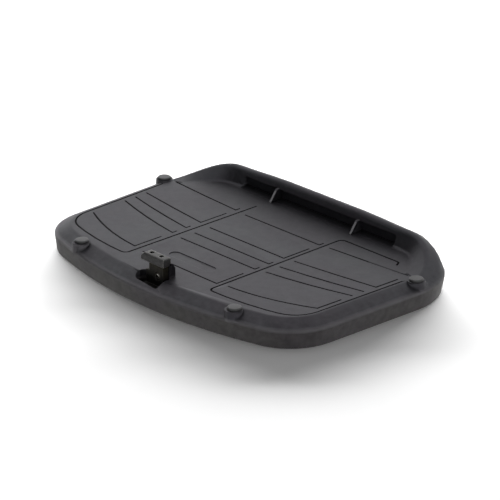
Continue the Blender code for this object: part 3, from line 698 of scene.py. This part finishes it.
for place in ("front_left", "front_right", "rear_left", "rear_right"):
    low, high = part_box("buffer_" + place)
    outline = [(0.0, low.z), (buffer_neck - barb_flat, low.z), (buffer_barb, buffer_under - barb_flat),
               (buffer_barb, buffer_under), (buffer_neck, buffer_under), (buffer_neck, buffer_floor),
               (buffer_radius, buffer_floor)]
    outline += [(buffer_radius * out, high.z - buffer_dome * fall) for out, fall in dome_shares]
    buffer_bm = turned(outline, turning_steps)
    round_ring(buffer_bm, buffer_radius, high.z - buffer_dome, buffer_rounding, head_segments)
    round_ring(buffer_bm, buffer_radius, buffer_floor, buffer_foot_edge, foot_segments)
    centred(buffer_bm, "buffer_" + place)
    rubber = new_piece("rubber_buffer_" + place, buffer_bm)
    shade_by_angle(rubber)
    dress(rubber, rubber_finish, "buffer_rubber", "buffer_" + place)


# The catch: a die-cast block with a grey head and an olive passivated stem, its edges rubbed
# bright by the case's latch. Its foot stands in the pocket, and a screw holds it to the tower.
# The stem darkens to near black towards its foot as painted shade, and its key holes and
# hollows are painted black as shade.
head_grey = (0.0260, 0.0253, 0.0250)
stem_olive = (0.0230, 0.0200, 0.0115)
catch_shade_black = (0.0040, 0.0038, 0.0032)
bare_metal = (0.3400, 0.3350, 0.3200)
head_mottle = 0.5
stem_mottle = 0.25
stem_shade_fade = (deck_height - 0.001, deck_height + 0.013)
head_under = deck_height + 0.0134
head_fade = (head_under - 0.0006, head_under + 0.0006)
stem_rub_share = 0.12
head_rub_share = 2.0
metal_shows = (0.1, 0.6)
rubbed_metallic = 0.7
catch_roughness = 0.42
catch_roughness_spread = 0.06
stem_level = 0.16
head_level = 0.5
hole_shade_sheen = 0.1
catch_edge = 0.0011
catch_grain_scale = 1300.0
catch_grain_depth = 0.00008
catch_mottle_scale = 500.0
key_hole_xs = (-0.0080, 0.0066)
key_hole_reach = 0.00288
key_hole_depth = 0.0040
key_hole_slack = 0.0001
key_hole_flare = 1.25
catch_bend = 40


def flare_key_holes(bm):
    """Flare the mouths of the head's two holes, and mark their insides, which get painted shade."""
    mark = bm.faces.layers.float.new("key hole")
    floor_z = max(vert.co.z for vert in bm.verts) - key_hole_depth
    for hole_x in key_hole_xs:
        floor_verts = [vert for vert in bm.verts
                       if abs(vert.co.z - floor_z) < key_hole_slack
                       and abs(vert.co.x - hole_x) < key_hole_reach]
        near = {other for vert in floor_verts for edge in vert.link_edges for other in edge.verts}
        mouth = near - set(floor_verts)
        middle = sum((vert.co for vert in mouth), Vector()) / max(len(mouth), 1)
        for vert in mouth:
            vert.co.xy = middle.xy + (vert.co.xy - middle.xy) * key_hole_flare
        for vert in floor_verts:
            for face in vert.link_faces:
                face[mark] = 1.0


catch_bm = merged_copy("catch")
flare_key_holes(catch_bm)
catch = new_piece("latch_catch", catch_bm)
shade_by_angle(catch, catch_bend)

catch_finish, catch_shader = new_finish("passivated casting", head_grey, catch_roughness)
tree = catch_finish.node_tree
skin = place_surface(tree, catch_shader, catch_edge, catch_grain_scale, catch_grain_depth,
                     catch_mottle_scale)
height = axes_of(tree, place_on_piece(tree))["Z"]
key_hole = face_mask(tree, "key hole")
on_head = mapped(tree, height, *head_fade)
# Painted shade: the stem darkens to near black towards its foot, down in the pocket.
stem_tone = mix_colours(tree, mapped(tree, height, *stem_shade_fade), catch_shade_black,
                        mottled(tree, skin["Mottle"], stem_olive, stem_mottle))
tone = mix_colours(tree, on_head, stem_tone, mottled(tree, skin["Mottle"], head_grey, head_mottle))
# Painted shade: near black where the surface lies closed in.
tone = mix_colours(tree, skin["Open"], catch_shade_black, tone)
rubbed = product(tree, skin["Worn"], mapped(tree, on_head, 0.0, 1.0, stem_rub_share, head_rub_share))
tone = mix_colours(tree, rubbed, tone, bare_metal)
# Painted shade: the key holes' insides near black, with little sheen.
tone = mix_colours(tree, key_hole, tone, catch_shade_black)
tree.links.new(tone, catch_shader.inputs["Base Color"])
tree.links.new(mapped(tree, rubbed, *metal_shows, 0.0, rubbed_metallic), catch_shader.inputs["Metallic"])
roughness = varied(tree, skin["Speckle"], catch_roughness, catch_roughness_spread)
tree.links.new(roughness, catch_shader.inputs["Roughness"])
catch_level = product(tree, mapped(tree, on_head, 0.0, 1.0, stem_level, head_level),
                      mapped(tree, key_hole, 0.0, 1.0, 1.0, hole_shade_sheen))
tree.links.new(catch_level, catch_shader.inputs["Specular IOR Level"])
dress(catch, catch_finish, "catch_metal", "catch")


# The catch's screw: a plated M5 cap screw with a hexagon socket, dark and dull all over but for a
# glint painted as one bright spot by its socket, and its square nut, which slides into the tower's slot.
screw_x = 0.0064
screw_z = deck_height + 0.0010
screw_head_radius = 0.0041
screw_head_length = 0.0030
screw_head_edge = 0.0005
screw_radius = 0.0025
screw_point = 0.0006
screw_point_share = 0.8
socket_radius = 0.0023
socket_depth = 0.0018
nut_edge = 0.0003
nut_bend = 50
steel_dull = (0.040, 0.038, 0.032)
# The screw's painted glint: its bright colour and the size of its spot.
steel_glint = (0.920, 0.900, 0.840)
glint_radius = 0.0014
glint_fade = 1.2
glint_rest = 0.03
steel_smooth = 0.26
steel_rough = 0.40
metal_mottle = 0.3
metal_edge = 0.0002
metal_grain_scale = 2400.0
metal_grain_depth = 0.00003
metal_mottle_scale = 700.0


def carry_on(bm, edges, shift, scale=1.0):
    """Extrude a ring of edges, move it and scale it about the axis; gives back the new edges."""
    made = bmesh.ops.extrude_edge_only(bm, edges=edges)["geom"]
    verts = [item for item in made if isinstance(item, bmesh.types.BMVert)]
    bmesh.ops.translate(bm, vec=(0, 0, shift), verts=verts)
    bmesh.ops.scale(bm, vec=(scale, scale, 1.0), verts=verts)
    return [item for item in made if isinstance(item, bmesh.types.BMEdge)]


def ring(bm, steps, radius):
    """The edges of a circle drawn about the axis."""
    verts = bmesh.ops.create_circle(bm, segments=steps, radius=radius)["verts"]
    return list({edge for vert in verts for edge in vert.link_edges})


def metal_finish(name, dull, bright, smooth, rough, glint_spot=None):
    """A bare metal, mottled and dull, and bright along its worn edges, or instead in one spot painted as
    a glint.
    """
    finish, shader = new_finish(name, bright, smooth, 1.0)
    tree = finish.node_tree
    skin = place_surface(tree, shader, metal_edge, metal_grain_scale, metal_grain_depth,
                         metal_mottle_scale)
    worn = skin["Worn"]
    # For the screw a glint is painted: bright in one small spot instead of along worn edges.
    if glint_spot:
        axes = axes_of(tree, place_on_piece(tree))
        beside = calculated(tree, "POWER", calculated(tree, "SUBTRACT", axes["X"], glint_spot[0]), 2.0)
        above = calculated(tree, "POWER", calculated(tree, "SUBTRACT", axes["Z"], glint_spot[1]), 2.0)
        away = calculated(tree, "SQRT", calculated(tree, "ADD", beside, above))
        worn = mapped(tree, away, glint_radius, glint_radius * glint_fade, 1.0, glint_rest)
    tone = mix_colours(tree, worn, mottled(tree, skin["Mottle"], dull, metal_mottle), bright)
    tree.links.new(tone, shader.inputs["Base Color"])
    tree.links.new(mapped(tree, skin["Speckle"], 0.0, 1.0, smooth, rough), shader.inputs["Roughness"])
    return finish


screw_low, screw_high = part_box("catch_screw")
shank_length = screw_high.y - screw_low.y - screw_head_length
screw_bm = bmesh.new()
socket_edges = ring(screw_bm, 6, socket_radius)
head_edges = ring(screw_bm, turning_steps, screw_head_radius - screw_head_edge)
bmesh.ops.bridge_loops(screw_bm, edges=socket_edges + head_edges)
socket_edges = carry_on(screw_bm, socket_edges, -socket_depth)
bmesh.ops.edgeloop_fill(screw_bm, edges=socket_edges)
head_edges = carry_on(screw_bm, head_edges, -screw_head_edge,
                      screw_head_radius / (screw_head_radius - screw_head_edge))
head_edges = carry_on(screw_bm, head_edges, screw_head_edge - screw_head_length)
head_edges = carry_on(screw_bm, head_edges, 0.0, screw_radius / screw_head_radius)
head_edges = carry_on(screw_bm, head_edges, screw_point - shank_length)
head_edges = carry_on(screw_bm, head_edges, -screw_point, screw_point_share)
bmesh.ops.edgeloop_fill(screw_bm, edges=head_edges)
bmesh.ops.recalc_face_normals(screw_bm, faces=screw_bm.faces[:])
bmesh.ops.rotate(screw_bm, matrix=Matrix.Rotation(math.pi / 2, 3, "X"), verts=screw_bm.verts[:])
bmesh.ops.translate(screw_bm, vec=(screw_x, screw_low.y, screw_z), verts=screw_bm.verts[:])
screw = new_piece("cap_screw", screw_bm)
shade_by_angle(screw)

zinc_finish = metal_finish("zinc plated steel", steel_dull, steel_glint, steel_smooth, steel_rough,
                           (screw_x + glint_radius / 2, screw_z + glint_radius))
dress(screw, zinc_finish, "zinc_steel", "catch_screw")

nut = new_piece("square_nut", merged_copy("catch_nut"))
broken_edges = nut.modifiers.new("broken edges", "BEVEL")
broken_edges.width = nut_edge
broken_edges.segments = 2
broken_edges.angle_limit = math.radians(nut_bend)
shade_by_angle(nut)
dress(nut, zinc_finish, "zinc_steel", "catch_nut")


# The rack inserts: turned brass bushes with two knurled bands and an M6 thread, pressed into the
# four bosses under the deck. The rack's bolts come up into them.
insert_radius = 0.0042
insert_bore = 0.0025
insert_edge = 0.0003
insert_waist = 0.0008
waist_depth = 0.0004
thread_pitch = 0.0010
thread_depth = 0.00022
thread_crest = 0.15
thread_root = 0.35
knurls = 36
knurl_share = 0.035
insert_bend = 25
brass_dull = (0.500, 0.340, 0.130)
brass_bright = (0.740, 0.560, 0.270)
brass_smooth = 0.24
brass_rough = 0.40
brass_finish = metal_finish("machined brass", brass_dull, brass_bright, brass_smooth, brass_rough)


def insert_profile(low_z, high_z):
    """The closed outline of an insert: its outside from the lower end up, then the thread down."""
    middle = (low_z + high_z) / 2
    ramp = insert_waist + waist_depth
    waist_radius = insert_radius - waist_depth
    outline = [(insert_bore, low_z), (insert_radius - insert_edge, low_z),
               (insert_radius, low_z + insert_edge), (insert_radius, middle - ramp),
               (waist_radius, middle - insert_waist), (waist_radius, middle + insert_waist),
               (insert_radius, middle + ramp), (insert_radius, high_z - insert_edge),
               (insert_radius - insert_edge, high_z), (insert_bore, high_z)]
    for turn in range(int((high_z - low_z) / thread_pitch) - 1, 0, -1):
        crest = low_z + turn * thread_pitch
        outline += [(insert_bore, crest + thread_pitch * thread_crest),
                    (insert_bore + thread_depth, crest - thread_pitch * thread_root)]
    return outline + outline[:1]


def knurl(bm):
    """Press every second line of the outside inwards, for the knurling's teeth."""
    step = math.pi / knurls
    teeth = [vert for vert in bm.verts if vert.co.xy.length > insert_radius - touching
             and round(math.atan2(vert.co.y, vert.co.x) / step) % 2]
    bmesh.ops.scale(bm, vec=(1 - knurl_share, 1 - knurl_share, 1.0), verts=teeth)


for number in range(1, 5):
    node = "rack_insert_%d" % number
    low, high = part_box(node)
    insert_bm = turned(insert_profile(low.z, high.z), 2 * knurls)
    knurl(insert_bm)
    centred(insert_bm, node)
    insert = new_piece("threaded_insert_%d" % number, insert_bm)
    shade_by_angle(insert, insert_bend)
    dress(insert, brass_finish, "insert_brass", node)
